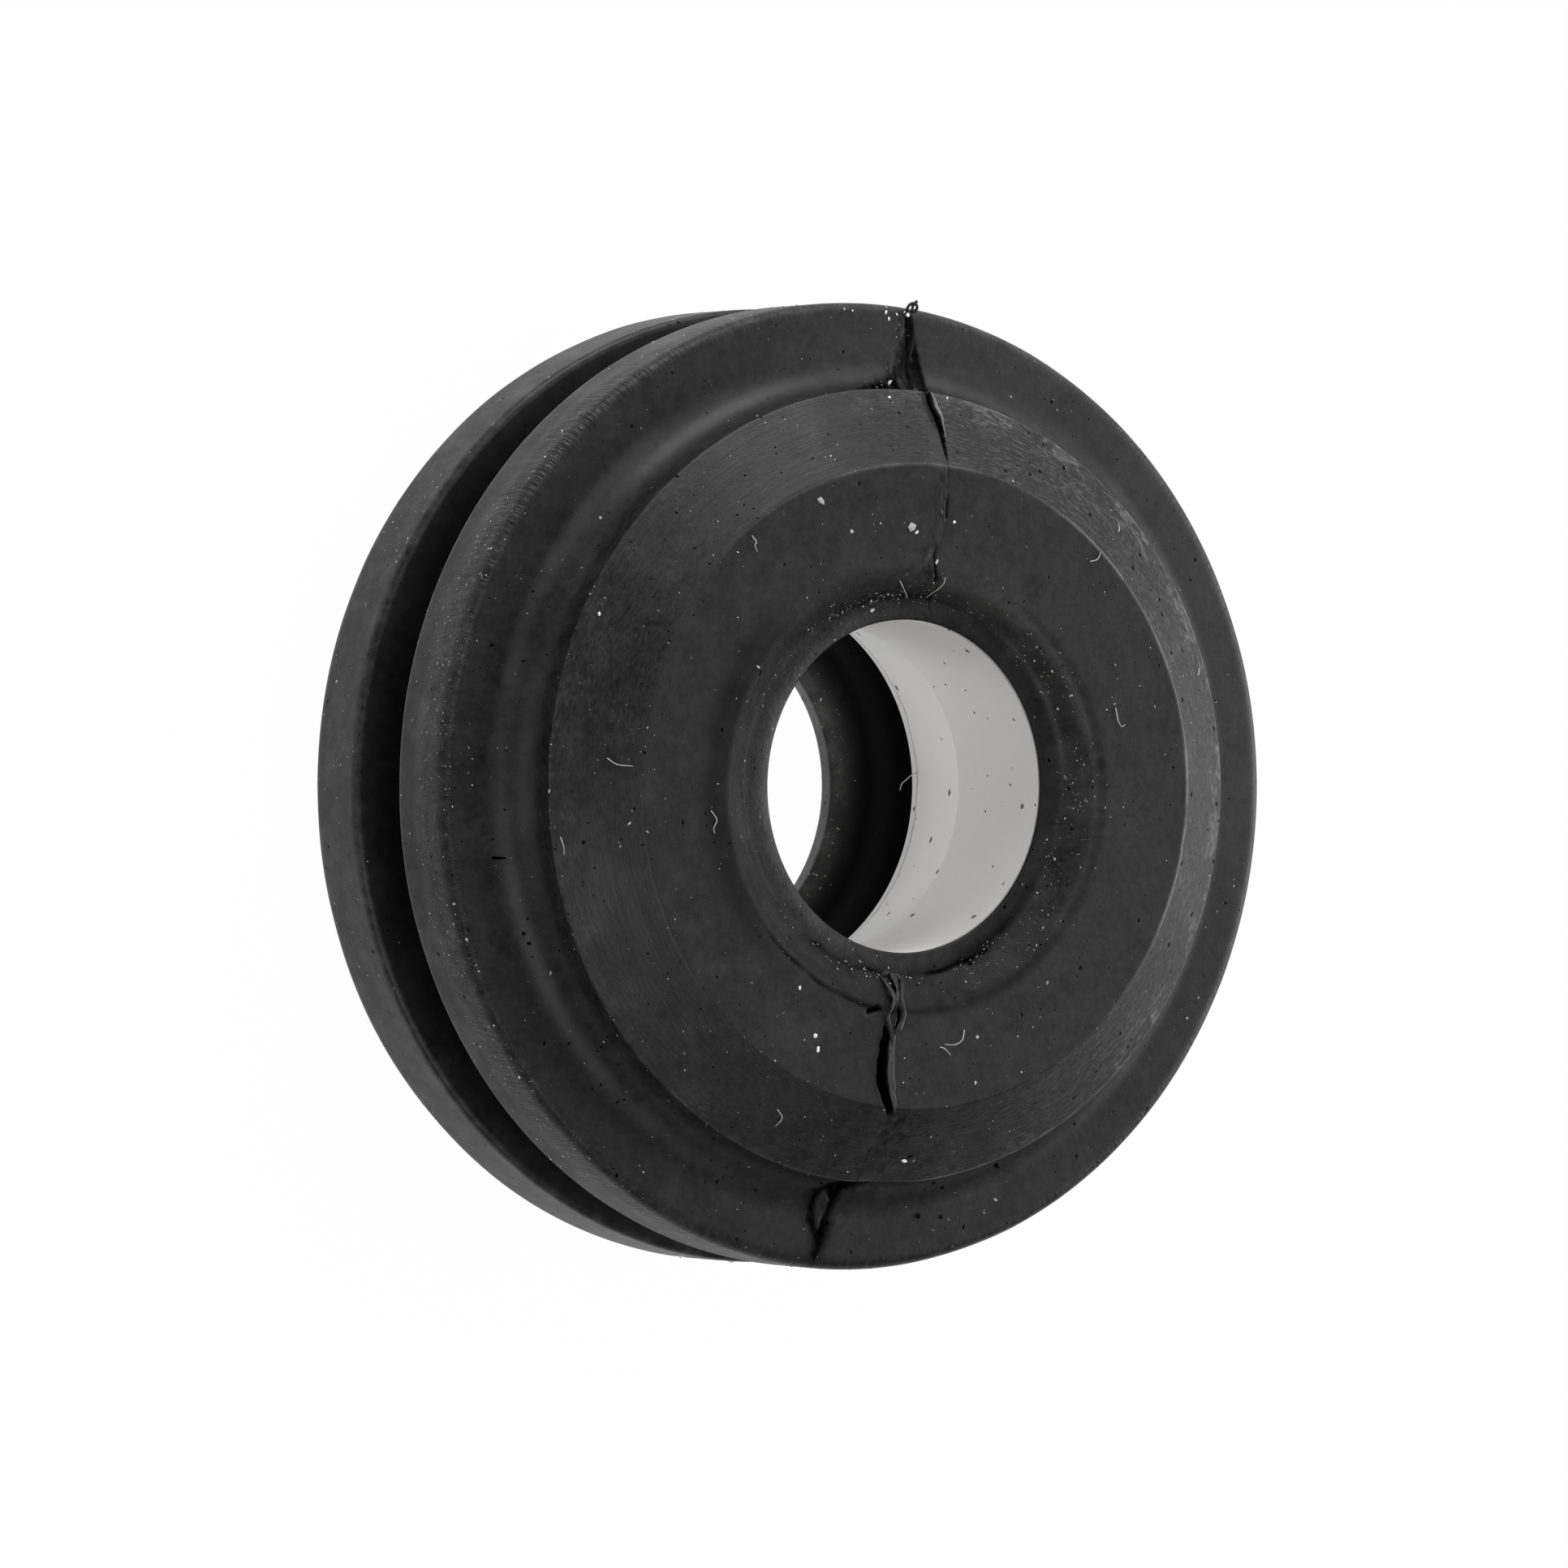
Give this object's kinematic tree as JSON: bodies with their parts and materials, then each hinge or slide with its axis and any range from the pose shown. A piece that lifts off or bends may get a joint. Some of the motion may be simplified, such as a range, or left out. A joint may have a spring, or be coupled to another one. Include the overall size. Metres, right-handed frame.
{
  "type": "control arm bushing",
  "caption": "Round black rubber control arm bushing with a groove round its waist, a chamfered boss on each face and a flared steel sleeve bonded in its bore.",
  "frame": {"origin": "centre of the back boss face, which the bushing stands on", "axes": "+Z along the bore axis, from the back boss face to the front boss face, which is the one that the picture shows; +Y is up in the picture, near the parting line"},
  "size_m": [0.057, 0.0574, 0.0279],
  "materials": {
    "black_rubber": "matt moulded black rubber with white dust, fine tool marks and a torn parting line",
    "satin_steel": "plain satin grey steel with small dark specks"
  },
  "bodies": {
    "root": {"rubber_bush": "black_rubber", "inner_sleeve": "satin_steel"}
  },
  "joints": []
}
